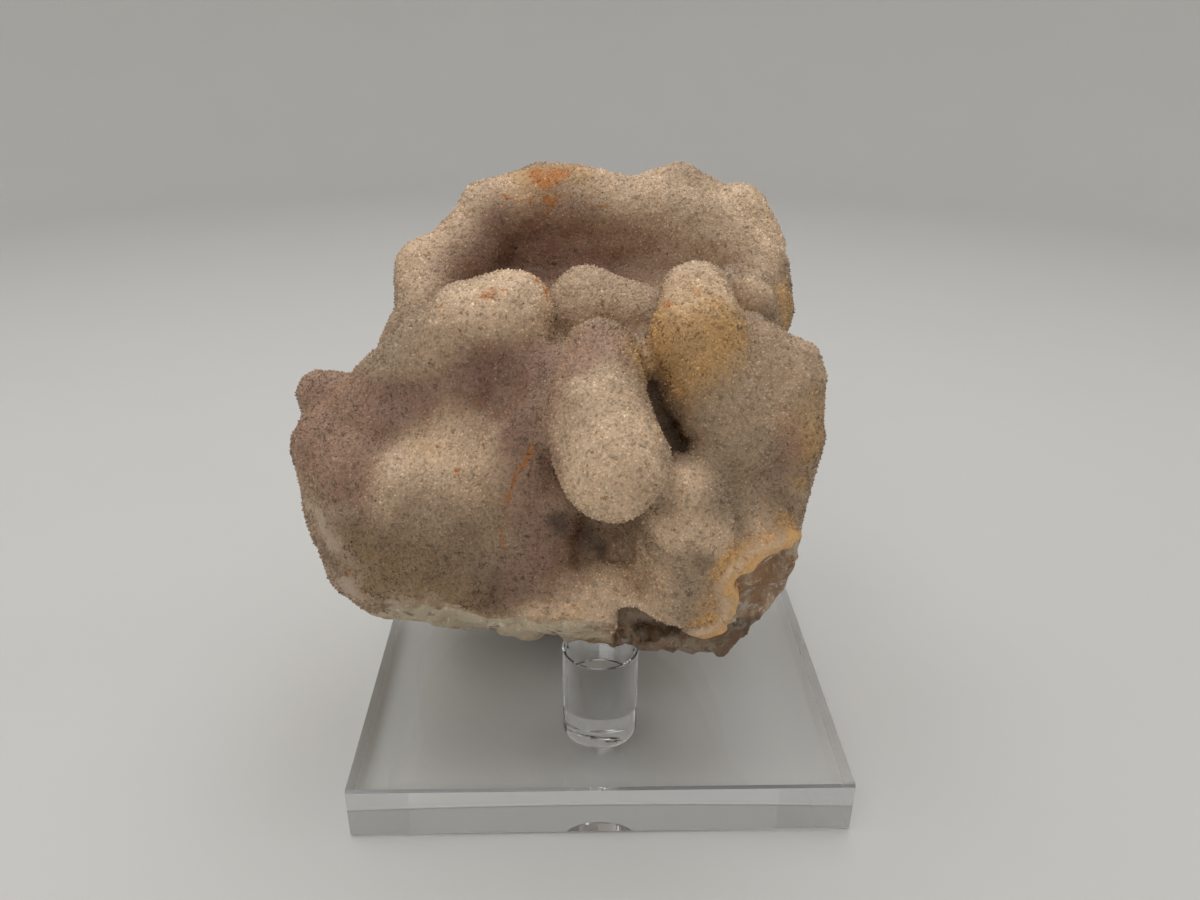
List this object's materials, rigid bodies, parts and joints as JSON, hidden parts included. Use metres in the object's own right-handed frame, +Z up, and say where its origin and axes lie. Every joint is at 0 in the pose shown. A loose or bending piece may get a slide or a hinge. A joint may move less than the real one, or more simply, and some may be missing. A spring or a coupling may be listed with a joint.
{
  "type": "drusy quartz specimen on a peg stand",
  "caption": "Lobed cluster of sugar-crusted quartz leaning back on a clear square slab with a short round peg.",
  "frame": {"origin": "middle of the slab's underside", "axes": "+Z up, +Y from the front edge of the slab to its back edge, +X to the right"},
  "size_m": [0.1125, 0.1033, 0.1201],
  "materials": {
    "clear_acrylic": "polished clear acrylic",
    "drusy_quartz": "sugar-fine crystal crust, grey-beige to lilac, stained with iron"
  },
  "bodies": {
    "root": {"acrylic_slab": "clear_acrylic", "acrylic_rod": "clear_acrylic", "quartz": "drusy_quartz"}
  },
  "joints": []
}
